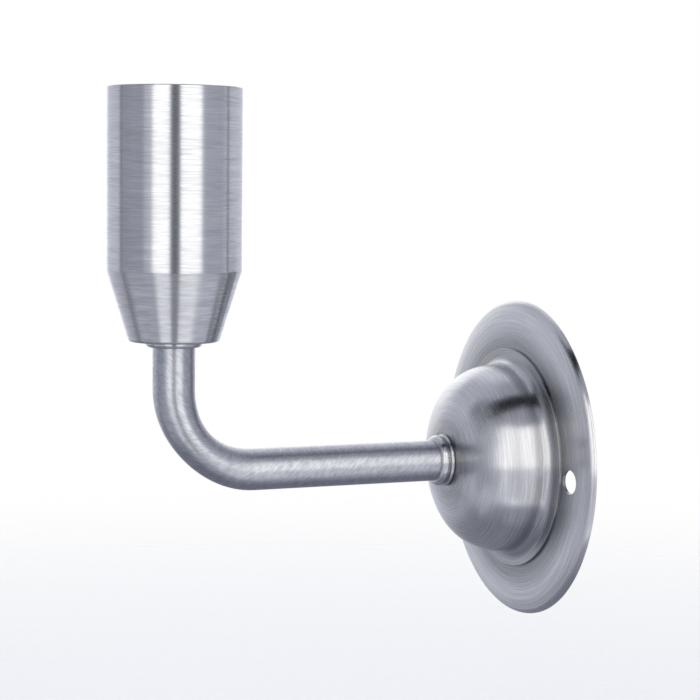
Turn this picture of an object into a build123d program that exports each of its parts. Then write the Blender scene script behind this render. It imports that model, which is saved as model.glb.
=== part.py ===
from build123d import *
from math import asin, cos, degrees, pi, radians, sin, sqrt, tan
import os

# Wall bracket with an upright pole socket, in brushed steel.
#
# A round wall plate carries a flared dome. A bent tube runs out from the dome, turns
# upwards and holds a turned socket for the end of a pole.
#
# Frame: the wall is the plane y = 0 and the bracket reaches into the room along -Y.
# +Z is up. The origin is on the wall, at the centre of the plate. Millimetres.

# Arm
arm_d = 12.0  # outer diameter of the tube
arm_wall = 1.5
projection = 110.0  # wall to the socket's axis
arm_rise = 35.9  # from the level run's axis to the tube's upper end
bend_r = 24.0  # radius of the tube's centre line
bend_flat = 0.11  # how far the tube's section flattens half way round the bend, as a share
bend_sections = 7

# Pole socket
pole_d = 35.0
pole_gap = 0.4  # radial room round the pole
socket_wall = 1.4
socket_straight = 51.0  # straight part, from the rim down
socket_taper = 20.0  # tapered part below it
socket_foot_d = 25.8
socket_foot_round = 0.8
socket_lip_round = 0.4

# Seat ring between the arm and the socket
seat_ring_d = 16.4
seat_ring_h = 1.6
seat_ring_band = 0.3  # straight band left above the rounded lower edge

# Threaded studs brazed into the tube's ends, with their nuts and washers
stud_d = 8.0
stud_plug = 8.0  # length held in the tube
stud_spare = 2.0  # thread standing past the nut
stud_gap = 0.25  # radial room where a stud passes through a piece
stud_chamfer = 0.8
washer_d = 16.0
washer_t = 1.6
washer_chamfer = 0.3
nut_af = 13.0  # across flats
nut_h = 6.5
nut_chamfer_angle = 30.0

# Dome
dome_d = 56.2
dome_seat_edge = 1.0  # flat seat left round the washer inside
dome_crown_r = 60.0
dome_knuckle_r = 15.5
dome_straight = 1.3  # straight wall between the knuckle and the flare
dome_flare_r = 2.9
dome_brim_w = 4.9  # how far the brim stands out past the dome's wall
dome_sheet = 0.8

# Bead collar round the tube where it meets the dome, with thicknesses outside the tube
collar_foot_w = 1.2
collar_foot_t = 1.7
collar_groove_t = 0.8
collar_bead_w = 2.9
collar_bead_t = 1.5
collar_nose_t = 0.3  # thickness at the end of the broad bead

# Wall plate
plate_d = 95.0
plate_sheet = 1.0
plate_edge_r = 1.8  # round at the very edge
plate_skirt = 0.15  # straight edge between that round and the wall
plate_rim_w = 4.2  # width of the rim's sloping band
plate_rim_slope = 14.0
plate_rim_r = 16.0  # shallow bend from the face into the rim
plate_rise = 0.7  # how far the flat middle stands in front of that bend
plate_crease_r = 3.0  # bend between the flat middle and the face
plate_opening_d = 47.0
screw_d = 7.0
screw_pcd = 74.0
screw_count = 2
screw_angle = 4.0  # dip of the screws' line below the horizontal, on the +X side

# Sizes that follow from the ones above
arm_r = arm_d / 2
bore_r = arm_r - arm_wall
stud_hole_r = stud_d / 2 + stud_gap
socket_r = pole_d / 2 + pole_gap + socket_wall
foot_z = arm_rise + seat_ring_h
shoulder_z = foot_z + socket_taper
rim_z = shoulder_z + socket_straight
plate_edge_h = plate_skirt + plate_edge_r * tan(radians(90 - plate_rim_slope) / 2)
plate_rim_h = plate_edge_h + plate_rim_w * tan(radians(plate_rim_slope))
plate_face_h = plate_rim_h + plate_rise
brim_r = dome_d / 2 + dome_brim_w
brim_h = plate_face_h + dome_sheet

# The dome's outline, as distances from the wall: the crown's arc meets the knuckle's arc smoothly
dome_seat_r = washer_d / 2 + dome_seat_edge
flare_centre = (dome_d / 2 + dome_flare_r, brim_h + dome_flare_r)
knuckle_centre = (dome_d / 2 - dome_knuckle_r, flare_centre[1] + dome_straight)
meet_angle = asin(knuckle_centre[0] / (dome_crown_r - dome_knuckle_r))
crown_centre_h = knuckle_centre[1] - (dome_crown_r - dome_knuckle_r) * cos(meet_angle)
dome_h = crown_centre_h + sqrt(dome_crown_r**2 - dome_seat_r**2)


def level(height):
    """Level plane on the socket's axis, this far above the arm's axis."""
    return Plane(origin=(0, -projection, height), x_dir=(1, 0, 0), z_dir=(0, 0, 1))


def upright(distance):
    """Plane square to the arm's axis, this far from the wall and facing the room."""
    return Plane(origin=(0, -distance, 0), x_dir=(1, 0, 0), z_dir=(0, -1, 0))


def upright_back(distance):
    """The same plane, facing the wall."""
    return Plane(origin=(0, -distance, 0), x_dir=(1, 0, 0), z_dir=(0, 1, 0))


def dome_face(depth):
    """Draws the dome's outline, this deep under its outer face."""
    crown_r = dome_crown_r - depth
    seat_h = dome_h - depth
    seat_r = sqrt(crown_r**2 - (seat_h - crown_centre_h) ** 2)
    seat_angle = degrees(asin(seat_r / crown_r))
    crown_end = 90 - degrees(meet_angle)
    wall_r = dome_d / 2 - depth
    Line((stud_hole_r, seat_h), (seat_r, seat_h))
    CenterArc((0, crown_centre_h), crown_r, 90 - seat_angle, crown_end - 90 + seat_angle)
    CenterArc(knuckle_centre, dome_knuckle_r - depth, crown_end, -crown_end)
    Line((wall_r, knuckle_centre[1]), (wall_r, flare_centre[1]))
    CenterArc(flare_centre, dome_flare_r + depth, 180, 90)
    Line((flare_centre[0], brim_h - depth), (brim_r, brim_h - depth))


def turning(seat):
    """Plane for a turned piece's profile: x is the radius, y the distance along the seat's normal."""
    return Plane(origin=seat.origin, x_dir=seat.x_dir, z_dir=-seat.y_dir)


def axis_of(seat):
    """The axis that a piece standing on this seat turns about."""
    return Axis(seat.origin, seat.z_dir)


def stud(seat, reach):
    """A stud: a plug below the seat for the tube's bore, and a thread that reaches past it."""
    with BuildPart() as piece:
        with BuildSketch(turning(seat)):
            with BuildLine():
                Polyline(
                    (0, -stud_plug),
                    (bore_r, -stud_plug),
                    (bore_r, 0),
                    (stud_d / 2, 0),
                    (stud_d / 2, reach - stud_chamfer),
                    (stud_d / 2 - stud_chamfer, reach),
                    (0, reach),
                    close=True,
                )
            make_face()
        revolve(axis=axis_of(seat))
    return piece


def washer(seat):
    """A flat washer lying on the seat, with its outer edge broken on the upper side."""
    with BuildPart() as piece:
        with BuildSketch(seat):
            Circle(washer_d / 2)
            Circle(stud_hole_r, mode=Mode.SUBTRACT)
        extrude(amount=washer_t)
        upper = piece.faces().sort_by(axis_of(seat))[-1]
        chamfer(upper.edges().sort_by(SortBy.RADIUS)[-1], washer_chamfer)
    return piece


def nut(seat):
    """A hexagon nut standing on the seat, its corners turned back on both faces."""
    corner_r = nut_af / 2 / cos(pi / 6)
    corner_drop = (corner_r - nut_af / 2) * tan(radians(nut_chamfer_angle))
    with BuildPart() as piece:
        with BuildSketch(seat):
            RegularPolygon(nut_af / 2, 6, major_radius=False)
        extrude(amount=nut_h)
        with BuildSketch(turning(seat)):
            with BuildLine():
                Polyline(
                    (stud_d / 2, 0),
                    (nut_af / 2, 0),
                    (corner_r, corner_drop),
                    (corner_r, nut_h - corner_drop),
                    (nut_af / 2, nut_h),
                    (stud_d / 2, nut_h),
                    close=True,
                )
            make_face()
        revolve(axis=axis_of(seat), mode=Mode.INTERSECT)
    return piece


# Pole socket: a thin turned cup, straight above and tapered below, open at the top
with BuildPart() as pole_socket:
    with BuildSketch(turning(level(0))):
        with BuildLine():
            Polyline(
                (0, foot_z),
                (socket_foot_d / 2, foot_z),
                (socket_r, shoulder_z),
                (socket_r, rim_z),
                (0, rim_z),
                close=True,
            )
        make_face()
    revolve(axis=axis_of(level(0)))
    foot = pole_socket.edges().filter_by(GeomType.CIRCLE).sort_by(Axis.Z)[0]
    fillet(foot, socket_foot_round)
    offset(amount=-socket_wall, openings=pole_socket.faces().sort_by(Axis.Z)[-1])
    lip = pole_socket.faces().sort_by(Axis.Z)[-1]
    fillet(lip.edges(), socket_lip_round)
    with Locations(level(foot_z + socket_wall)):
        Hole(stud_hole_r, depth=2 * socket_wall)


# Seat ring: a small turned ring with a rounded lower edge, between tube and socket
with BuildPart() as socket_seat_ring:
    with BuildSketch(level(arm_rise)):
        Circle(seat_ring_d / 2)
        Circle(stud_hole_r, mode=Mode.SUBTRACT)
    extrude(amount=seat_ring_h)
    lower = socket_seat_ring.faces().sort_by(Axis.Z)[0]
    fillet(lower.edges().sort_by(SortBy.RADIUS)[-1], seat_ring_h - seat_ring_band)


# Arm: one bent tube, round and straight at both ends, flattened a little round the bend
bend_plane = Plane(origin=(0, bend_r - projection, bend_r), x_dir=(0, -1, 0), z_dir=(1, 0, 0))

with BuildPart() as arm_tube:
    for radius, mode in ((arm_r, Mode.ADD), (bore_r, Mode.SUBTRACT)):
        with BuildSketch(upright(dome_h)):
            Circle(radius)
        extrude(amount=projection - bend_r - dome_h, mode=mode)
        with BuildSketch(level(bend_r)):
            Circle(radius)
        extrude(amount=arm_rise - bend_r, mode=mode)
        with BuildLine(bend_plane) as bend:
            CenterArc((0, 0), bend_r, 90, -90)
        for i in range(bend_sections):
            share = i / (bend_sections - 1)
            centre = bend.line @ share
            oval = bend_flat * sin(pi * share) ** 2
            with BuildSketch(Plane(centre, x_dir=centre - bend_plane.origin, z_dir=bend.line % share)):
                Ellipse(radius * (1 - oval), radius * (1 + oval / 2))
        loft(mode=mode)


# Collar: a turned ring with a thin foot bead and a broad bead, pressed on to the tube's end
foot_r = arm_r + collar_foot_t - collar_foot_w / 2  # centre of the foot bead's round
groove_r = arm_r + collar_groove_t
nose_r = arm_r + collar_nose_t
collar_w = collar_foot_w + collar_bead_w

with BuildPart() as arm_collar:
    with BuildSketch(turning(upright(dome_h))):
        with BuildLine():
            Polyline((nose_r, collar_w), (arm_r, collar_w), (arm_r, 0), (foot_r, 0))
            CenterArc((foot_r, collar_foot_w / 2), collar_foot_w / 2, -90, 180)
            Line((foot_r, collar_foot_w), (groove_r, collar_foot_w))
            bead_top = (arm_r + collar_bead_t, collar_foot_w + collar_bead_w / 2)
            ThreePointArc((groove_r, collar_foot_w), bead_top, (nose_r, collar_w))
        make_face()
    revolve(axis=axis_of(upright(dome_h)))


# Dome: a spun shell with a flat seat, a shallow crown, a round knuckle and a flared brim
with BuildPart() as dome_cover:
    with BuildSketch(turning(upright(0))):
        with BuildLine():
            dome_face(0)
            dome_face(dome_sheet)
            Line((stud_hole_r, dome_h - dome_sheet), (stud_hole_r, dome_h))
            Line((brim_r, plate_face_h), (brim_r, brim_h))
        make_face()
    revolve(axis=axis_of(upright(0)))


# Wall plate: a spun dish, its face falling away into a rounded rim that meets the wall,
# open behind the dome
with BuildPart() as wall_plate:
    with BuildSketch(turning(upright(0))):
        with BuildLine():
            FilletPolyline(
                (plate_opening_d / 2, plate_face_h),
                (brim_r, plate_face_h),
                (plate_d / 2 - plate_rim_w, plate_rim_h),
                (plate_d / 2, plate_edge_h),
                (plate_d / 2, 0),
                radius=[plate_crease_r, plate_rim_r, plate_edge_r],
            )
            offset(amount=plate_sheet, side=Side.RIGHT, closed=True)
        make_face()
    revolve(axis=axis_of(upright(0)))
    with Locations(upright(plate_face_h)):
        with PolarLocations(screw_pcd / 2, screw_count, start_angle=-screw_angle):
            Hole(screw_d / 2)


# Fixings at the socket's floor and inside the dome
socket_floor = foot_z + socket_wall
dome_ceiling = dome_h - dome_sheet
clamp = washer_t + nut_h + stud_spare

socket_stud = stud(level(arm_rise), seat_ring_h + socket_wall + clamp)
socket_washer = washer(level(socket_floor))
socket_nut = nut(level(socket_floor + washer_t))
dome_stud = stud(upright_back(dome_h), dome_sheet + clamp)
dome_washer = washer(upright_back(dome_ceiling))
dome_nut = nut(upright_back(dome_ceiling - washer_t))

pieces = {
    "pole_socket": pole_socket,
    "socket_seat_ring": socket_seat_ring,
    "socket_stud": socket_stud,
    "socket_washer": socket_washer,
    "socket_nut": socket_nut,
    "arm_tube": arm_tube,
    "arm_collar": arm_collar,
    "dome_cover": dome_cover,
    "dome_stud": dome_stud,
    "dome_washer": dome_washer,
    "dome_nut": dome_nut,
    "wall_plate": wall_plate,
}

os.makedirs("parts", exist_ok=True)
for name, piece in pieces.items():
    piece.part.label = name
    export_step(piece.part, f"parts/{name}.step")
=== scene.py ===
from math import asin, atan, atan2, cos, hypot, pi, radians, sin, tan, tau

import bmesh
import bpy
from bpy.props import FloatProperty, FloatVectorProperty, PointerProperty
from mathutils import Matrix, Vector


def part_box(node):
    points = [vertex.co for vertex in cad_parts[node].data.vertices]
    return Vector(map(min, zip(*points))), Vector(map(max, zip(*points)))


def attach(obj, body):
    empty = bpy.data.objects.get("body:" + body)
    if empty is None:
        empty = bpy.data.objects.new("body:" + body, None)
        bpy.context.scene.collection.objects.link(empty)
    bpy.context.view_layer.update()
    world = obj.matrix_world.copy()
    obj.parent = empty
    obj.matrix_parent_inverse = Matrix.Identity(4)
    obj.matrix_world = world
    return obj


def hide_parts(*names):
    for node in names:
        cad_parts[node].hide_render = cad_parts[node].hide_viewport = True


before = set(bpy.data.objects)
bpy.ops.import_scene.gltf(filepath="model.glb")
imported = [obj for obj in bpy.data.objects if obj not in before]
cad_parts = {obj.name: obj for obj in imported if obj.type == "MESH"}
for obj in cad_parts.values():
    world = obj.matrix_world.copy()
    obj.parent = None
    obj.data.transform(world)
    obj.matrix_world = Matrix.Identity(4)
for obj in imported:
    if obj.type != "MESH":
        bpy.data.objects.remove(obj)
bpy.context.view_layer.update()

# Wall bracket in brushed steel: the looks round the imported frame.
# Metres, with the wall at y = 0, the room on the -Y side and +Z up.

bl_info = {
    "name": "Wall bracket",
    "version": (1, 0, 0),
    "blender": (4, 5, 0),
    "location": "View3D > Sidebar > Bracket",
    "description": "Dresses a steel wall bracket with a pole socket, and sets its studio",
    "category": "Object",
}

MM = 0.001
UP = Vector((0, 0, 1))

# Places from the frame
SOCKET_LOW, SOCKET_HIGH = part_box("pole_socket")
RING_LOW, RING_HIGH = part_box("socket_seat_ring")
TUBE_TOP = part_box("arm_tube")[1].z
COLLAR_LOW, COLLAR_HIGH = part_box("arm_collar")
DOME_LOW, DOME_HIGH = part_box("dome_cover")
PLATE_LOW, PLATE_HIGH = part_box("wall_plate")
SOCKET_Y = (SOCKET_LOW.y + SOCKET_HIGH.y) / 2
SEAT_H = -DOME_LOW.y  # wall to the dome's flat seat

# Turned pieces are made about local Z, with local X as the radius,
# and are then stood in one of these frames.
ON_SOCKET = Matrix.Translation((0, SOCKET_Y, 0))
ON_WALL = Matrix(((1, 0, 0, 0), (0, 0, -1, 0), (0, 1, 0, 0), (0, 0, 0, 1)))
STUD_ON_SOCKET = Matrix.Translation((0, SOCKET_Y, RING_LOW.z))
STUD_ON_DOME = Matrix(((1, 0, 0, 0), (0, 0, 1, DOME_LOW.y), (0, -1, 0, 0), (0, 0, 0, 1)))

ROUND_STEPS = 192  # faces round a large turned piece
PLATE_STEPS = 288  # enough that the patches round its screw holes are near square
COLLAR_STEPS = 96
STUD_STEPS = 64
TUBE_STEPS = 64
BEND_STEPS = 40  # along the bend
THREAD_STEPS = 48  # along one turn of a thread
SHARP_EDGE = radians(40)
WELD = 1e-6  # points closer than this become one
NEAR = 10 * WELD


def length(name, description, millimetres):
    """A length property, with its default in millimetres."""
    return FloatProperty(
        name=name, description=description, default=millimetres * MM, min=0, unit="LENGTH"
    )


class BracketSizes(bpy.types.PropertyGroup):
    """Lengths of the bracket that the frame's boxes don't give."""

    socket_wall: length("Socket wall", "Thickness of the pole socket's wall", 1.4)
    socket_taper: length("Socket taper", "Height of the socket's tapered foot", 20)
    socket_foot: length("Socket foot", "Radius of the socket's flat foot", 12.9)
    socket_lip: length("Socket lip", "Round on the socket's rim", 0.4)
    foot_round: length("Foot round", "Round on the socket's lower edge", 0.8)
    shoulder_round: length("Shoulder", "Break on the edge between the socket and its taper", 0.25)
    stud_hole: length("Stud hole", "Radius of the holes that the studs pass through", 4.25)
    ring_band: length("Ring band", "Straight band above the seat ring's rounded edge", 0.3)
    stud_plug: length("Stud plug", "Length of a stud held in the tube", 8)
    tube_radius: length("Tube", "Outer radius of the arm's tube", 6)
    tube_wall: length("Tube wall", "Thickness of the arm's tube", 1.5)
    bend_radius: length("Bend", "Radius of the tube's centre line round its bend", 24)
    bend_flat: FloatProperty(
        name="Bend flattening", description="How far the tube's section flattens half way round the bend",
        default=0.11, subtype="FACTOR",
    )
    dome_sheet: length("Dome sheet", "Thickness of the dome's sheet", 0.8)
    seat_radius: length("Dome seat", "Radius of the dome's flat seat", 9)
    crown_radius: length("Crown", "Radius of the dome's shallow crown", 60)
    knuckle_radius: length("Knuckle", "Radius between the dome's crown and its wall", 15.5)
    dome_radius: length("Dome", "Radius of the dome's wall", 28.1)
    dome_straight: length("Dome wall", "Straight wall between the knuckle and the flare", 1.3)
    flare_radius: length("Flare", "Radius between the dome's wall and its brim", 2.9)
    collar_foot: length("Collar foot", "Width of the collar's thin foot bead", 1.2)
    collar_groove: length("Collar groove", "Radius of the collar between its beads", 6.8)
    collar_bead: length("Collar bead", "Radius of the collar's broad bead", 7.5)
    collar_nose: length("Collar nose", "Radius of the collar's outer end", 6.3)
    plate_opening: length("Plate opening", "Radius of the opening in the plate behind the dome", 23.5)
    plate_sheet: length("Plate sheet", "Thickness of the plate's sheet", 1)
    plate_skirt: length("Plate skirt", "Straight edge between the plate's outer round and the wall", 0.15)
    edge_radius: length("Plate edge", "Radius of the round at the plate's very edge", 1.8)
    rim_width: length("Rim width", "Width of the sloping band inside the plate's edge", 4.2)
    rim_radius: length("Rim bend", "Radius of the shallow bend from the plate's face into its rim", 16)
    rim_slope: FloatProperty(
        name="Rim slope", description="How far the rim's band leans towards the wall", default=radians(14),
        subtype="ANGLE",
    )
    screw_circle: length("Screw circle", "Radius of the circle through the screw holes", 37)
    screw_radius: length("Screw hole", "Radius of a screw hole", 3.5)
    screw_angle: FloatProperty(
        name="Screw angle", description="Dip of the screw holes' line below the level", default=radians(4),
        subtype="ANGLE",
    )
    thread_radius: length("Thread", "Outer radius of a stud's thread", 4)
    thread_depth: length("Thread depth", "Depth of a stud's thread", 0.6)
    thread_end: length("Thread end", "Bevel on the end of a stud", 0.8)
    thread_pitch: length("Pitch", "Distance from one turn of the thread to the next", 1.25)


def fresh_profile(radius, height):
    """A new bmesh with the first point of a profile."""
    bm = bmesh.new()
    return bm, bm.verts.new((radius, 0, height))


def line_to(bm, point, radius, height):
    """Draws the profile on to a new point and returns it."""
    end = bmesh.ops.extrude_vert_indiv(bm, verts=[point])["verts"][0]
    bmesh.ops.translate(bm, verts=[end], vec=Vector((radius, 0, height)) - end.co)
    return end


def arc_about(bm, point, radius, height, angle, steps):
    """Turns the profile's end about a centre, and returns the new end.

    A positive angle turns it clockwise.
    """
    made = bmesh.ops.spin(
        bm, geom=[point], cent=(radius, 0, height), axis=(0, 1, 0), angle=angle, steps=steps,
        use_merge=False,
    )
    return next(item for item in made["geom_last"] if isinstance(item, bmesh.types.BMVert))


def turn(bm, steps=ROUND_STEPS):
    """Spins the profile about local Z, and welds its seam and its poles."""
    bmesh.ops.spin(
        bm, geom=bm.verts[:] + bm.edges[:], cent=(0, 0, 0), axis=(0, 0, 1), angle=tau, steps=steps,
        use_merge=True,
    )
    bmesh.ops.remove_doubles(bm, verts=bm.verts[:], dist=WELD)
    bmesh.ops.recalc_face_normals(bm, faces=bm.faces[:])


def rings(bm, radius, height):
    """The edges that run round the axis at this radius and height."""
    def there(vert):
        return abs(hypot(vert.co.x, vert.co.y) - radius) < NEAR and abs(vert.co.z - height) < NEAR
    return [edge for edge in bm.edges if all(there(vert) for vert in edge.verts)]


def arc_centre(a, b, c):
    """Centre of the circle through three points of a profile, each a radius and a height."""
    (ax, ay), (bx, by), (cx, cy) = a, b, c
    twice = 2 * (ax * (by - cy) + bx * (cy - ay) + cx * (ay - by))
    aa, bb, cc = ax * ax + ay * ay, bx * bx + by * by, cx * cx + cy * cy
    return (
        (aa * (by - cy) + bb * (cy - ay) + cc * (ay - by)) / twice,
        (aa * (cx - bx) + bb * (ax - cx) + cc * (bx - ax)) / twice,
    )


def edges_among(verts):
    """The edges that run between these vertices."""
    chosen = set(verts)
    return list({edge for vert in verts for edge in vert.link_edges if set(edge.verts) <= chosen})


def soften(bm, edges, width, segments=3):
    """Rounds edges over."""
    bmesh.ops.bevel(
        bm, geom=edges, offset=width, offset_type="OFFSET", affect="EDGES", segments=segments,
        profile=0.5, material=-1, clamp_overlap=True,
    )


def finish_piece(bm, name, place, material, *nodes):
    """Stands a bmesh in its frame as a smooth piece that rides on the bracket and stands for CAD nodes."""
    bm.transform(place)
    mesh = bpy.data.meshes.new(name)
    bm.to_mesh(mesh)
    bm.free()
    mesh.shade_smooth()
    mesh.set_sharp_from_angle(angle=SHARP_EDGE)
    mesh.materials.append(material)
    piece = bpy.data.objects.new(name, mesh)
    bpy.context.scene.collection.objects.link(piece)
    piece.modifiers.new("Flat faces stay flat", "WEIGHTED_NORMAL").keep_sharp = True
    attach(piece, "root")
    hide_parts(*nodes)


# Materials

LINE_NOISE = {"Scale": 1.0, "Detail": 2.0, "Roughness": 0.6}
NOISE_RANGE = (0.3, 0.7)  # where most of a noise lies
FINE_LINE = 0.35 * MM  # from one line of the belt to the next
BROAD_LINE = 2.2 * MM  # from one lighter or duller band to the next
FINE_FADES, BROAD_FADES = 2.4, 1.1  # how often the lines fade and start again round a piece
FINE_SHARE = 0.75  # of the tone, with the rest from the broad lines
SCRATCH = (0.9 * MM, 2.4 * MM, 0.35 * MM)  # a sanded scratch
LINE_ROUGHNESS = 0.04  # how far the roughness of a line leaves the piece's own, either way
HAZE_SCALE, HAZE_ROUGHNESS = 45.0, 0.06  # patches a few centimetres wide, a little duller
LINE_HEIGHT = 0.02 * MM  # depth of a groove at full strength
ACROSS_LINES = 0.25  # a quarter turn, as the grooves stretch reflections across themselves


def linear(hex_colour):
    """An sRGB hex colour as linear red, green, blue and alpha."""
    def channel(value):
        return value / 12.92 if value <= 0.04045 else ((value + 0.055) / 1.055) ** 2.4
    return tuple(channel(int(hex_colour[i:i + 2], 16) / 255) for i in (1, 3, 5)) + (1.0,)


def add(tree, kind, settings=None, inputs=None):
    """Adds a node, sets its properties, and fills its inputs with values or links."""
    node = tree.nodes.new("ShaderNode" + kind)
    for key, value in (settings or {}).items():
        setattr(node, key, value)
    for key, value in (inputs or {}).items():
        if isinstance(value, bpy.types.NodeSocket):
            tree.links.new(value, node.inputs[key])
        else:
            node.inputs[key].default_value = value
    return node


def fresh_tree(owner):
    """The emptied node tree of a new material or world."""
    owner.use_nodes = True
    owner.node_tree.nodes.clear()
    return owner.node_tree


def maths(tree, operation, *values):
    """The result of a calculation with numbers."""
    return add(tree, "Math", {"operation": operation}, dict(enumerate(values))).outputs["Value"]


def vector_maths(tree, operation, *values):
    """The result of a calculation with vectors."""
    made = add(tree, "VectorMath", {"operation": operation}, dict(enumerate(values)))
    return made.outputs["Value" if operation == "LENGTH" else "Vector"]


def ramp(tree, value, low, high, start=0.0, end=1.0, kind="SMOOTHSTEP"):
    """Goes from start to end while the value goes from low to high."""
    return add(
        tree, "MapRange", {"interpolation_type": kind},
        {"Value": value, "From Min": low, "From Max": high, "To Min": start, "To Max": end},
    ).outputs["Result"]


def between(tree, share, first, second):
    """A colour on the way from one hex colour to another."""
    return add(
        tree, "MixRGB", inputs={"Fac": share, "Color1": linear(first), "Color2": linear(second)}
    ).outputs["Color"]


def brushed_steel(
    name, place=None, roughness=0.25, anisotropy=0.92, tones=("#9A9BA0", "#E2E2E4"), painted_shade_and_zinc_bloom=(),
    depth=0.1, lean=None,
):
    """Stainless steel brushed round an axis with a fine abrasive belt.

    The grooves stretch every reflection across themselves, and the eye sees fine lines
    round the piece, each a little lighter or duller than the next. Rings of painted shade
    darken the colour in the creases, where the pieces beside them would shade the steel.
    Each ring runs from one radius to another, and says how much of its light the steel
    keeps at both. With a lean the fine lines are short scratches at that angle, as hand
    sanding leaves them. Without a place the piece's mesh says where its axis is.
    """
    material = bpy.data.materials.new(name)
    tree = fresh_tree(material)

    if place is None:
        spot = straight = add(tree, "Attribute", {"attribute_name": "straight"}).outputs["Vector"]
        around = add(tree, "Attribute", {"attribute_name": "around"}).outputs["Vector"]
    else:
        spot = add(tree, "TexCoord").outputs["Object"]
        inverse = place.inverted()
        straight = add(
            tree, "Mapping",
            inputs={"Vector": spot, "Location": inverse.to_translation(), "Rotation": inverse.to_euler()},
        ).outputs["Vector"]
        axis = (place.to_3x3() @ UP).normalized()
        from_axis = vector_maths(tree, "SUBTRACT", spot, place.to_translation())
        around = vector_maths(tree, "CROSS_PRODUCT", from_axis, axis)
    tangent = vector_maths(tree, "NORMALIZE", around)

    # Round the axis a groove hardly changes, and across it every tenth of a millimetre counts.
    parts = add(tree, "SeparateXYZ", inputs={"Vector": straight}).outputs
    flat = add(tree, "CombineXYZ", inputs={"X": parts["X"], "Y": parts["Y"]}).outputs["Vector"]
    radius = vector_maths(tree, "LENGTH", flat)
    heading = vector_maths(tree, "NORMALIZE", flat)
    across = maths(tree, "SUBTRACT", radius, parts["Z"])

    def line_noise(vector):
        """Noise at a spot that is given in lines or scratches instead of metres."""
        return add(tree, "TexNoise", inputs={"Vector": vector, **LINE_NOISE}).outputs["Fac"]

    def grooves(spacing, fades):
        """Lines this far apart, which fade out and start again round the piece."""
        lines = maths(tree, "DIVIDE", across, spacing)
        lifted = add(tree, "CombineXYZ", inputs={"Z": lines}).outputs["Vector"]
        return line_noise(vector_maths(tree, "MULTIPLY_ADD", heading, (fades,) * 3, lifted))

    if lean is None:
        fine = grooves(FINE_LINE, FINE_FADES)
    else:
        leant = add(
            tree, "Mapping", inputs={"Vector": straight, "Rotation": (lean, 0, 0)}
        ).outputs["Vector"]
        fine = line_noise(vector_maths(tree, "MULTIPLY", leant, tuple(1 / size for size in SCRATCH)))
    broad = grooves(BROAD_LINE, BROAD_FADES)
    haze = add(tree, "TexNoise", inputs={"Vector": spot, "Scale": HAZE_SCALE, "Detail": 3.0}).outputs["Fac"]

    mix = maths(tree, "MULTIPLY_ADD", broad, 1 - FINE_SHARE, maths(tree, "MULTIPLY", fine, FINE_SHARE))
    tone = between(tree, mix, *tones)
    # Painted shade: each ring darkens the steel's colour between two radii.
    for inner, outer, kept_inside, kept_outside in painted_shade_and_zinc_bloom:
        kept = ramp(tree, radius, inner, outer, kept_inside, kept_outside)
        tone = add(
            tree, "MixRGB", {"blend_type": "MULTIPLY"}, {"Fac": 1.0, "Color1": tone, "Color2": kept}
        ).outputs["Color"]
    dull = ramp(
        tree, mix, *NOISE_RANGE, roughness + LINE_ROUGHNESS, roughness - LINE_ROUGHNESS, "LINEAR"
    )
    dull = maths(tree, "MULTIPLY_ADD", haze, HAZE_ROUGHNESS, dull)
    bump = add(
        tree, "Bump", inputs={"Strength": depth, "Distance": LINE_HEIGHT, "Height": fine}
    ).outputs["Normal"]
    shader = add(
        tree, "BsdfPrincipled",
        inputs={"Base Color": tone, "Metallic": 1.0, "Roughness": dull, "Anisotropic": anisotropy,
                "Anisotropic Rotation": ACROSS_LINES, "Tangent": tangent, "Normal": bump},
    ).outputs["BSDF"]
    add(tree, "OutputMaterial", inputs={"Surface": shader})
    return material


def turned_zinc(name):
    """Turned steel with a thin zinc plating.

    The plating takes the steel's sharp shine away and leaves a bluish bloom of fine crystals.
    """
    material = bpy.data.materials.new(name)
    tree = fresh_tree(material)
    coordinates = add(tree, "TexCoord").outputs["Object"]
    crystals = add(
        tree, "TexVoronoi", {"feature": "SMOOTH_F1"}, {"Vector": coordinates, "Scale": 1 / (0.5 * MM)}
    ).outputs["Distance"]
    painted_shade_and_zinc_bloom = add(
        tree, "TexNoise", inputs={"Vector": coordinates, "Scale": 1 / (3 * MM), "Detail": 4.0}
    ).outputs["Fac"]
    tone = between(tree, painted_shade_and_zinc_bloom, "#8E949E", "#C3C8CF")
    dull = ramp(tree, crystals, 0.0, 0.8, 0.3, 0.48, "LINEAR")
    shader = add(
        tree, "BsdfPrincipled", inputs={"Base Color": tone, "Metallic": 1.0, "Roughness": dull}
    ).outputs["BSDF"]
    add(tree, "OutputMaterial", inputs={"Surface": shader})
    return material


# Pieces


class BRACKET_OT_socket(bpy.types.Operator):
    """Turn the pole socket: a thin cup with a tapered foot"""

    bl_idname = "bracket.socket"
    bl_label = "Pole Socket"

    def execute(self, context):
        sizes = context.scene.bracket_sizes
        radius = (SOCKET_HIGH.x - SOCKET_LOW.x) / 2
        foot, rim = SOCKET_LOW.z, SOCKET_HIGH.z
        shoulder = foot + sizes.socket_taper
        bm, point = fresh_profile(sizes.stud_hole, foot)
        point = line_to(bm, point, sizes.socket_foot, foot)
        point = line_to(bm, point, radius, shoulder)
        line_to(bm, point, radius, rim)
        turn(bm)
        soften(bm, rings(bm, sizes.socket_foot, foot), sizes.foot_round, segments=5)
        soften(bm, rings(bm, radius, shoulder), sizes.shoulder_round, segments=2)
        bmesh.ops.solidify(bm, geom=bm.faces[:], thickness=sizes.socket_wall)
        soften(bm, rings(bm, radius, rim) + rings(bm, radius - sizes.socket_wall, rim), sizes.socket_lip)
        steel = brushed_steel("brushed_stainless_socket", ON_SOCKET)
        finish_piece(bm, "turned_socket", ON_SOCKET, steel, "pole_socket")
        return {"FINISHED"}


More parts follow.
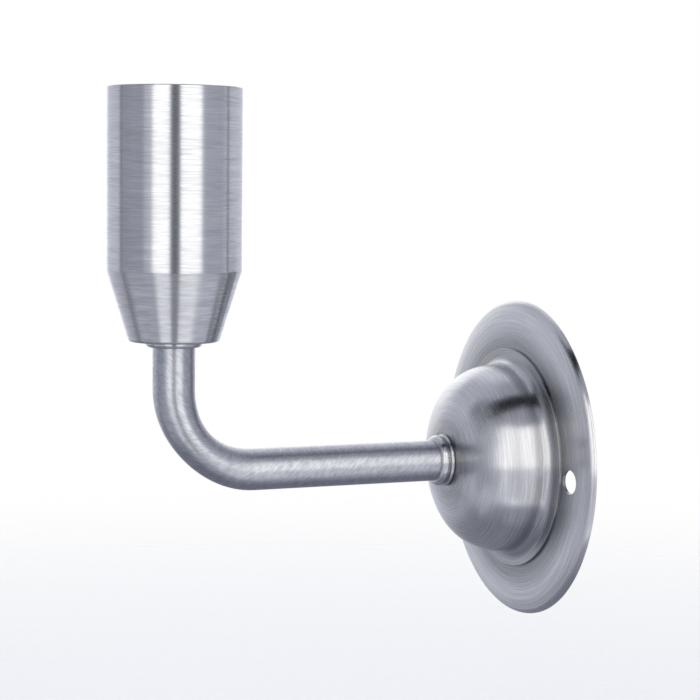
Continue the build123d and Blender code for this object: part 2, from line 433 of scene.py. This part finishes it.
class BRACKET_OT_seat_ring(bpy.types.Operator):
    """Turn the small ring that the socket sits on"""

    bl_idname = "bracket.seat_ring"
    bl_label = "Seat Ring"

    def execute(self, context):
        sizes = context.scene.bracket_sizes
        radius = (RING_HIGH.x - RING_LOW.x) / 2
        low, high = RING_LOW.z, RING_HIGH.z
        edge = high - low - sizes.ring_band
        bm, start = fresh_profile(sizes.stud_hole, low)
        point = line_to(bm, start, radius - edge, low)
        point = arc_about(bm, point, radius - edge, low + edge, -pi / 2, steps=8)
        point = line_to(bm, point, radius, high)
        point = line_to(bm, point, sizes.stud_hole, high)
        line_to(bm, point, sizes.stud_hole, low)
        turn(bm)
        steel = brushed_steel("brushed_stainless_ring", ON_SOCKET)
        finish_piece(bm, "turned_seat_ring", ON_SOCKET, steel, "socket_seat_ring")
        return {"FINISHED"}


def mark_ring(bm, ring, centre, heading, run):
    """Writes on a ring where it would lie on a straight tube, and which way is round the tube."""
    straight = bm.verts.layers.float_vector["straight"]
    around = bm.verts.layers.float_vector["around"]
    side = Vector((1, 0, 0))
    for vert in ring:
        spoke = vert.co - centre
        vert[straight] = (spoke.dot(side), spoke.dot(heading.cross(side)), run)
        vert[around] = heading.cross(spoke).normalized()


def bent_skin(bm, sizes):
    """Draws the tube's outer skin from the dome to the socket."""
    bend_y = SOCKET_Y + sizes.bend_radius
    pivot = Vector((0, bend_y, sizes.bend_radius))
    step = -pi / 2 / BEND_STEPS
    centre, heading, run = Vector((0, -SEAT_H, 0)), Vector((0, -1, 0)), 0.0
    ring = bmesh.ops.create_circle(
        bm, segments=TUBE_STEPS, radius=sizes.tube_radius, matrix=Matrix.Translation(centre) @ ON_WALL
    )["verts"]
    mark_ring(bm, ring, centre, heading, run)
    bends = []

    def pull(ring):
        """Pulls a new ring out of the last one."""
        made = bmesh.ops.extrude_edge_only(bm, edges=edges_among(ring))["geom"]
        return [item for item in made if isinstance(item, bmesh.types.BMVert)]

    def straight_on(ring, to):
        """Draws the tube straight on to a new centre."""
        ring = pull(ring)
        bmesh.ops.translate(bm, verts=ring, vec=to - centre)
        mark_ring(bm, ring, to, heading, run + (to - centre).length)
        return ring

    to = Vector((0, bend_y, 0))
    ring, run, centre = straight_on(ring, to), run + (to - centre).length, to
    turn_by = Matrix.Rotation(step, 3, "X")
    for i in range(1, BEND_STEPS + 1):
        ring = pull(ring)
        bmesh.ops.rotate(bm, verts=ring, cent=pivot, matrix=turn_by)
        centre = pivot + turn_by @ (centre - pivot)
        heading = turn_by @ heading
        run += sizes.bend_radius * abs(step)
        mark_ring(bm, ring, centre, heading, run)
        bends.append((ring, centre, heading, i / BEND_STEPS))
    straight_on(ring, Vector((0, SOCKET_Y, TUBE_TOP)))

    # The bend squeezes the tube's section towards its pivot, most half way round.
    for bent, middle, way, share in bends:
        oval = sizes.bend_flat * sin(pi * share) ** 2
        inwards = (pivot - middle).normalized()
        upright = Matrix((Vector((1, 0, 0)), inwards, way)).transposed().to_4x4()
        space = (Matrix.Translation(middle) @ upright).inverted()
        bmesh.ops.scale(bm, vec=(1 + oval / 2, 1 - oval, 1), space=space, verts=bent)


class BRACKET_OT_arm(bpy.types.Operator):
    """Bend the arm's tube"""

    bl_idname = "bracket.arm"
    bl_label = "Arm"

    def execute(self, context):
        sizes = context.scene.bracket_sizes
        bm = bmesh.new()
        bm.verts.layers.float_vector.new("straight")
        bm.verts.layers.float_vector.new("around")
        bent_skin(bm, sizes)
        bmesh.ops.recalc_face_normals(bm, faces=bm.faces[:])
        bmesh.ops.solidify(bm, geom=bm.faces[:], thickness=sizes.tube_wall)
        steel = brushed_steel(
            "sanded_stainless_tube", roughness=0.34, anisotropy=0.4, tones=("#72747E", "#DCDDE2"),
            depth=0.35, lean=radians(45),
        )
        finish_piece(bm, "bent_tube", Matrix(), steel, "arm_tube")
        return {"FINISHED"}


class BRACKET_OT_collar(bpy.types.Operator):
    """Turn the collar with two beads at the tube's end"""

    bl_idname = "bracket.collar"
    bl_label = "Collar"

    def execute(self, context):
        sizes = context.scene.bracket_sizes
        foot = sizes.collar_foot
        foot_round = foot / 2
        foot_centre = (COLLAR_HIGH.x - COLLAR_LOW.x) / 2 - foot_round
        width = COLLAR_HIGH.y - COLLAR_LOW.y
        bead = [  # the broad bead is an arc through these three points
            (sizes.collar_groove, foot),
            (sizes.collar_bead, (foot + width) / 2),
            (sizes.collar_nose, width),
        ]
        bead_centre = arc_centre(*bead)
        ends = [atan2(x - bead_centre[0], z - bead_centre[1]) for x, z in (bead[0], bead[-1])]
        bm, point = fresh_profile(sizes.tube_radius, 0)
        point = line_to(bm, point, foot_centre, 0)
        point = arc_about(bm, point, foot_centre, foot_round, -pi, steps=10)
        point = line_to(bm, point, *bead[0])
        point = arc_about(bm, point, *bead_centre, ends[1] - ends[0], steps=16)
        point = line_to(bm, point, sizes.tube_radius, width)
        line_to(bm, point, sizes.tube_radius, 0)
        turn(bm, COLLAR_STEPS)
        place = ON_WALL @ Matrix.Translation((0, 0, SEAT_H))
        steel = brushed_steel("brushed_stainless_collar", place)
        finish_piece(bm, "beaded_collar", place, steel, "arm_collar")
        return {"FINISHED"}


class BRACKET_OT_dome(bpy.types.Operator):
    """Spin the flared dome"""

    bl_idname = "bracket.dome"
    bl_label = "Dome"

    def execute(self, context):
        sizes = context.scene.bracket_sizes
        brim_radius = (DOME_HIGH.x - DOME_LOW.x) / 2
        brim = -DOME_HIGH.y + sizes.dome_sheet
        flare = (sizes.dome_radius + sizes.flare_radius, brim + sizes.flare_radius)
        knuckle = (sizes.dome_radius - sizes.knuckle_radius, flare[1] + sizes.dome_straight)
        reach = sizes.crown_radius - sizes.knuckle_radius
        meet = asin(knuckle[0] / reach)
        seat = asin(sizes.seat_radius / sizes.crown_radius)
        bm, point = fresh_profile(sizes.stud_hole, SEAT_H)
        point = line_to(bm, point, sizes.seat_radius, SEAT_H)
        point = arc_about(bm, point, 0, knuckle[1] - reach * cos(meet), meet - seat, steps=12)
        point = arc_about(bm, point, *knuckle, pi / 2 - meet, steps=24)
        point = line_to(bm, point, sizes.dome_radius, flare[1])
        point = arc_about(bm, point, *flare, -pi / 2, steps=10)
        line_to(bm, point, brim_radius, brim)
        turn(bm)
        bmesh.ops.solidify(bm, geom=bm.faces[:], thickness=sizes.dome_sheet)
        soften(bm, rings(bm, brim_radius, brim), sizes.dome_sheet / 4)
        wall = sizes.dome_radius
        painted_shade_and_zinc_bloom = (  # painted shade beside the collar, and again in the flare
            (sizes.seat_radius, 2 * sizes.seat_radius, 0.6, 1),
            (0.99 * wall, 1.08 * wall, 1, 0.6),
        )
        steel = brushed_steel("brushed_stainless_dome", ON_WALL, painted_shade_and_zinc_bloom=painted_shade_and_zinc_bloom)
        finish_piece(bm, "spun_dome", ON_WALL, steel, "dome_cover")
        return {"FINISHED"}


HOLE_ROWS = 12  # rows of faces across the patch that a screw hole is cut in
HOLE_PATCH = 1.12  # half that patch, in radii of the hole
MOUTH_REACH = 1.6  # from the hole's middle past the patch's corners, in half patches


def cut_screw_hole(bm, side, sizes, cone):
    """Swaps a patch of the plate's faces for a ring of faces round a screw hole."""
    patch = HOLE_PATCH * sizes.screw_radius
    reach = atan2(patch, sizes.screw_circle)
    middle = Vector((sizes.screw_circle * side, 0))

    def over_hole(face):
        """Whether a face lies in the patch."""
        centre = face.calc_center_median()
        close = abs(centre.xy.length - sizes.screw_circle) < patch
        return close and centre.x * side > 0 and abs(atan2(centre.y, abs(centre.x))) < reach

    bmesh.ops.delete(bm, geom=[face for face in bm.faces if over_hole(face)], context="FACES")
    mouth = [
        edge for edge in bm.edges
        if edge.is_boundary and (edge.verts[0].co.xy - middle).length < MOUTH_REACH * patch
    ]
    hole = bmesh.ops.create_circle(
        bm, segments=len(mouth), radius=sizes.screw_radius, matrix=Matrix.Translation((*middle, 0))
    )["verts"]
    for vert in hole:
        vert.co.z = cone(vert.co.xy.length)
    bmesh.ops.bridge_loops(bm, edges=mouth + edges_among(hole))


class BRACKET_OT_plate(bpy.types.Operator):
    """Spin the wall plate and cut its screw holes"""

    bl_idname = "bracket.plate"
    bl_label = "Wall Plate"

    def execute(self, context):
        sizes = context.scene.bracket_sizes
        edge = (PLATE_HIGH.z - PLATE_LOW.z) / 2
        middle = (DOME_HIGH.x - DOME_LOW.x) / 2
        face = PLATE_HIGH.y - PLATE_LOW.y
        edge_cut = sizes.edge_radius * tan((pi / 2 - sizes.rim_slope) / 2)
        edge_height = sizes.plate_skirt + edge_cut
        rim = edge - sizes.rim_width
        rim_height = edge_height + sizes.rim_width * tan(sizes.rim_slope)
        slope = (face - rim_height) / (rim - middle)
        rim_cut = sizes.rim_radius * tan((sizes.rim_slope - atan(slope)) / 2)

        def cone(radius):
            """Height of the plate's sloping face at a radius."""
            return face - slope * (radius - middle)

        patch = HOLE_PATCH * sizes.screw_radius
        bm, point = fresh_profile(sizes.plate_opening, face)
        point = line_to(bm, point, middle, face)
        for row in range(HOLE_ROWS + 1):
            radius = sizes.screw_circle + patch * (2 * row / HOLE_ROWS - 1)
            point = line_to(bm, point, radius, cone(radius))
        point = line_to(bm, point, rim, rim_height)
        point = line_to(bm, point, edge, edge_height)
        line_to(bm, point, edge, 0)
        turn(bm, PLATE_STEPS)
        for side in (1, -1):
            cut_screw_hole(bm, side, sizes, cone)
        bmesh.ops.recalc_face_normals(bm, faces=bm.faces[:])
        soften(bm, rings(bm, edge, edge_height), edge_cut, segments=12)
        soften(bm, rings(bm, rim, rim_height), rim_cut, segments=6)
        bmesh.ops.solidify(bm, geom=bm.faces[:], thickness=sizes.plate_sheet)
        bmesh.ops.rotate(bm, verts=bm.verts[:], matrix=Matrix.Rotation(-sizes.screw_angle, 3, "Z"))
        # Painted shade: the plate's colour darkens towards the dome, where the dome would shade it.
        steel = brushed_steel("brushed_stainless_plate", ON_WALL, painted_shade_and_zinc_bloom=((middle, rim, 0.48, 1),))
        finish_piece(bm, "rolled_wall_plate", ON_WALL, steel, "wall_plate")
        return {"FINISHED"}


def threaded_stud(node, place, reach, sizes):
    """A stud with its plug below the seat, and a helical thread above it."""
    bore = sizes.tube_radius - sizes.tube_wall
    crest = sizes.thread_radius
    root = crest - sizes.thread_depth
    end = reach - sizes.thread_end
    bm, point = fresh_profile(0, -sizes.stud_plug)
    for radius, height in (
        (bore, -sizes.stud_plug), (bore, 0), (root, 0), (root, end),
        (crest - sizes.thread_end, reach), (0, reach),
    ):
        point = line_to(bm, point, radius, height)
    turn(bm, STUD_STEPS)

    # The thread is a ridge of its own, which runs up the core with its foot sunk into it.
    pitch = sizes.thread_pitch
    turns = int((end - pitch) / pitch)
    sunk = root - sizes.thread_depth / 4
    ridge = [bm.verts.new((sunk, 0, pitch * 0.1))]
    ridge.append(line_to(bm, ridge[0], crest, pitch * 0.5))
    ridge.append(line_to(bm, ridge[1], sunk, pitch * 0.9))
    start = bmesh.ops.contextual_create(bm, geom=ridge)["faces"]
    bmesh.ops.spin(
        bm, geom=start + edges_among(ridge) + ridge, cent=(0, 0, 0), axis=(0, 0, 1),
        dvec=(0, 0, pitch / THREAD_STEPS), angle=tau * turns, steps=THREAD_STEPS * turns, use_merge=False,
    )
    bmesh.ops.recalc_face_normals(bm, faces=bm.faces[:])
    finish_piece(bm, "threaded_" + node, place, turned_zinc("zinc_plated_" + node), node)


class BRACKET_OT_fixings(bpy.types.Operator):
    """Cut the threads of the two studs, and plate the nuts and washers"""

    bl_idname = "bracket.fixings"
    bl_label = "Studs and Nuts"

    def execute(self, context):
        sizes = context.scene.bracket_sizes
        for node, seat in (("socket_stud", STUD_ON_SOCKET), ("dome_stud", STUD_ON_DOME)):
            low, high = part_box(node)
            span = (high - low).z if node == "socket_stud" else (high - low).y
            threaded_stud(node, seat, span - sizes.stud_plug, sizes)
        zinc = turned_zinc("zinc_plated_nuts")
        for node in ("socket_washer", "socket_nut", "dome_washer", "dome_nut"):
            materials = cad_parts[node].data.materials
            materials.clear()
            materials.append(zinc)
        return {"FINISHED"}


# Studio

# Soft panels round the bracket, each laid over the ones before it. Each has the azimuth of its
# middle from the camera's side, its half width, the elevation of its middle, its half height
# and the softness of its edge, all in degrees, and its light.
PANELS = (
    (0, 180, -62, 34, 10, 0.36),  # the dim lower half of the room
    (20, 55, -60, 20, 8, 0.52),  # the paler floor before the bracket
    (75, 23, 0, 60, 4, 0.68),  # the room's paler right
    (180, 84, -2, 18, 6, 0.95),  # pale walls behind the bracket
    (-120, 60, 46, 30, 8, 0.75),  # their upper part, at the left
    (180, 32, 42, 24, 8, 1.15),  # a light wall above them, at the back
    (-170, 28, 10, 22, 8, 1.6),  # a window behind, at the left
    (-66, 28, -34, 11, 6, 0.85),  # low pale tables at both sides
    (76, 26, -32, 11, 6, 0.95),
    (10, 42, -25, 25, 6, 1.4),  # the apron below the front soft box
    (-38, 8, 4, 12, 4, 1.1),  # the soft box's pale left wing
    (10, 42, 18, 24, 2.5, 2.35),  # the large soft box in front
    (6.5, 8.5, 0, 44, 1.5, 0.2),  # the camera's stand before it
    (28, 62, 75, 10, 3, 0),  # a dark beam overhead, which drops at both ends
    (-32, 15, 68, 11, 3, 0),
    (-55, 16, 57, 13, 3, 0),
    (-73, 14, 45, 12, 5, 0.06),
    (-88, 12, 31, 11, 5, 0.15),
    (92, 12, 65, 7, 3, 0.03),
    (-94.5, 1.5, 0, 40, 1, 0.1),  # the edges where the pale walls begin
    (105.7, 1.8, 0, 40, 1, 0.1),
    (0, 180, 90, 5, 2, 0.7),  # the ceiling
)
ROOM_LIGHT = 0.58
FULL_LIGHT = 2.0  # light at which a panel has lost the room's bluish cast
ALL_ROUND = 180  # half width of a panel without ends
PAPER_FADE = (0.15, 0.8)  # the paper fades out between these shares of its radius


def studio_world(camera_heading):
    """A world of soft panels for the steel to mirror, and plain white where the camera looks past it."""
    world = bpy.data.worlds.new("studio")
    tree = fresh_tree(world)
    heading = add(tree, "TexCoord").outputs["Generated"]
    parts = add(tree, "SeparateXYZ", inputs={"Vector": heading}).outputs
    elevation = maths(tree, "ARCSINE", parts["Z"])
    azimuth = maths(tree, "SUBTRACT", maths(tree, "ARCTAN2", parts["Y"], parts["X"]), camera_heading)

    def inside(angle, half, soft):
        """One within half of zero, and nothing outside it."""
        return ramp(tree, maths(tree, "ABSOLUTE", angle), half + soft, half - soft)

    light = add(tree, "Value").outputs["Value"]
    light.default_value = ROOM_LIGHT
    for side, half_width, height, half_height, soft, level in PANELS:
        up = maths(tree, "SUBTRACT", elevation, radians(height))
        mask = inside(up, radians(half_height), radians(soft))
        if half_width < ALL_ROUND:
            across = maths(tree, "WRAP", maths(tree, "SUBTRACT", azimuth, radians(side)), pi, -pi)
            mask = maths(tree, "MULTIPLY", mask, inside(across, radians(half_width), radians(soft)))
        light = add(tree, "Mix", inputs={"Factor": mask, "A": light, "B": level}).outputs["Result"]

    cast = between(tree, ramp(tree, light, 0.0, FULL_LIGHT, kind="LINEAR"), "#E1E8FF", "#FFFEFB")
    room = add(tree, "Background", inputs={"Color": cast, "Strength": light}).outputs["Background"]
    white = add(tree, "Background", inputs={"Color": (1, 1, 1, 1)}).outputs["Background"]
    seen = add(tree, "LightPath").outputs["Is Camera Ray"]
    surface = add(tree, "MixShader", inputs={0: seen, 1: room, 2: white}).outputs["Shader"]
    add(tree, "OutputWorld", inputs={"Surface": surface})
    return world


def matt_paper(radius):
    """Matt white background paper, a little fibrous, which fades into the white behind it."""
    paper = bpy.data.materials.new("matt_white_paper")
    tree = fresh_tree(paper)
    coordinates = add(tree, "TexCoord").outputs["Object"]
    fibres = add(
        tree, "TexNoise", inputs={"Vector": coordinates, "Scale": 1 / (4 * MM), "Detail": 2.0}
    ).outputs["Fac"]
    tone = between(tree, fibres, "#F0F0F1", "#F6F6F6")
    sheet = add(tree, "BsdfPrincipled", inputs={"Base Color": tone, "Roughness": 0.9}).outputs["BSDF"]
    clear = add(tree, "BsdfTransparent").outputs["BSDF"]
    fade = ramp(tree, vector_maths(tree, "LENGTH", coordinates), *(radius * share for share in PAPER_FADE))
    below = add(tree, "NewGeometry").outputs["Backfacing"]  # a view from below looks past the sheet
    fade = maths(tree, "MAXIMUM", fade, below)
    surface = add(tree, "MixShader", inputs={0: fade, 1: sheet, 2: clear}).outputs["Shader"]
    add(tree, "OutputMaterial", inputs={"Surface": surface})
    return paper


class BracketStage(bpy.types.PropertyGroup):
    """Where the camera stands, the floor and the lamp."""

    azimuth: FloatProperty(
        name="Azimuth", description="Turn of the camera from looking along +Y", default=radians(67.04),
        subtype="ANGLE",
    )
    elevation: FloatProperty(
        name="Elevation", description="Camera's height above the level", default=radians(4.82),
        subtype="ANGLE",
    )
    roll: FloatProperty(name="Roll", description="Camera's tilt", default=radians(0.6), subtype="ANGLE")
    distance: length("Distance", "Camera to the aim point", 586)
    aim: FloatVectorProperty(
        name="Aim", description="Point that the camera looks at", size=3, subtype="TRANSLATION",
        default=(-1.71 * MM, -55.42 * MM, 33.61 * MM),
    )
    lens: FloatProperty(name="Lens", description="Camera's focal length", default=102.86, unit="CAMERA")
    sensor: FloatProperty(
        name="Sensor", description="Width of the camera's sensor", default=36, unit="CAMERA"
    )
    floor_drop: length("Floor drop", "Floor's depth below the origin", 140)
    floor_radius: length("Floor radius", "Radius of the paper disc that the floor is", 1100)
    lamp_height: length("Lamp height", "Height of the soft lamp above the origin", 1200)
    lamp_size: length("Lamp size", "Diameter of the soft lamp", 1200)
    lamp_power: FloatProperty(
        name="Lamp power", description="Power of the soft lamp", default=6, unit="POWER"
    )


class BRACKET_OT_stage(bpy.types.Operator):
    """Set the floor, the lights and the camera"""

    bl_idname = "bracket.stage"
    bl_label = "Studio"

    def execute(self, context):
        scene = context.scene
        stage = scene.bracket_stage
        back = Vector((
            sin(stage.azimuth) * cos(stage.elevation),
            -cos(stage.azimuth) * cos(stage.elevation),
            sin(stage.elevation),
        ))
        camera_data = bpy.data.cameras.new("camera")
        camera_data.lens = stage.lens
        camera_data.sensor_width = stage.sensor
        camera_data.clip_start = 10 * MM
        camera = bpy.data.objects.new("camera", camera_data)
        scene.collection.objects.link(camera)
        look = (-back).to_track_quat("-Z", "Y").to_matrix().to_4x4() @ Matrix.Rotation(stage.roll, 4, "Z")
        camera.matrix_world = Matrix.Translation(Vector(stage.aim) + back * stage.distance) @ look
        scene.camera = camera

        bm = bmesh.new()
        bmesh.ops.create_circle(bm, cap_ends=True, segments=96, radius=stage.floor_radius)
        mesh = bpy.data.meshes.new("floor")
        bm.to_mesh(mesh)
        bm.free()
        mesh.materials.append(matt_paper(stage.floor_radius))
        floor = bpy.data.objects.new("floor", mesh)
        floor.location = (0, SOCKET_Y / 2, -stage.floor_drop)
        floor.visible_glossy = False  # the room's own panels are what the steel mirrors from below
        scene.collection.objects.link(floor)

        lamp_data = bpy.data.lights.new("soft_lamp", "AREA")
        lamp_data.shape = "DISK"
        lamp_data.size = stage.lamp_size
        lamp_data.energy = stage.lamp_power
        lamp = bpy.data.objects.new("soft_lamp", lamp_data)
        lamp.location = (0, SOCKET_Y / 2, stage.lamp_height)
        lamp.visible_glossy = False
        scene.collection.objects.link(lamp)

        scene.world = studio_world(stage.azimuth - pi / 2)
        scene.view_settings.view_transform = "Standard"
        return {"FINISHED"}


OPERATORS = (
    BRACKET_OT_socket,
    BRACKET_OT_seat_ring,
    BRACKET_OT_arm,
    BRACKET_OT_collar,
    BRACKET_OT_dome,
    BRACKET_OT_plate,
    BRACKET_OT_fixings,
    BRACKET_OT_stage,
)


class BRACKET_PT_sidebar(bpy.types.Panel):
    """The bracket's pieces and its studio"""

    bl_idname = "BRACKET_PT_sidebar"
    bl_label = "Wall Bracket"
    bl_space_type = "VIEW_3D"
    bl_region_type = "UI"
    bl_category = "Bracket"

    def draw(self, context):
        column = self.layout.column(align=True)
        for operator in OPERATORS:
            column.operator(operator.bl_idname)


CLASSES = (BracketSizes, BracketStage) + OPERATORS + (BRACKET_PT_sidebar,)


def register():
    """Adds the bracket's classes and its settings to Blender."""
    for cls in CLASSES:
        bpy.utils.register_class(cls)
    bpy.types.Scene.bracket_sizes = PointerProperty(type=BracketSizes)
    bpy.types.Scene.bracket_stage = PointerProperty(type=BracketStage)


def unregister():
    """Takes them out again."""
    del bpy.types.Scene.bracket_stage
    del bpy.types.Scene.bracket_sizes
    for cls in reversed(CLASSES):
        bpy.utils.unregister_class(cls)


def main():
    """Makes every piece and the stage."""
    register()
    bpy.ops.bracket.socket()
    bpy.ops.bracket.seat_ring()
    bpy.ops.bracket.arm()
    bpy.ops.bracket.collar()
    bpy.ops.bracket.dome()
    bpy.ops.bracket.plate()
    bpy.ops.bracket.fixings()
    bpy.ops.bracket.stage()


if __name__ == "__main__":
    main()
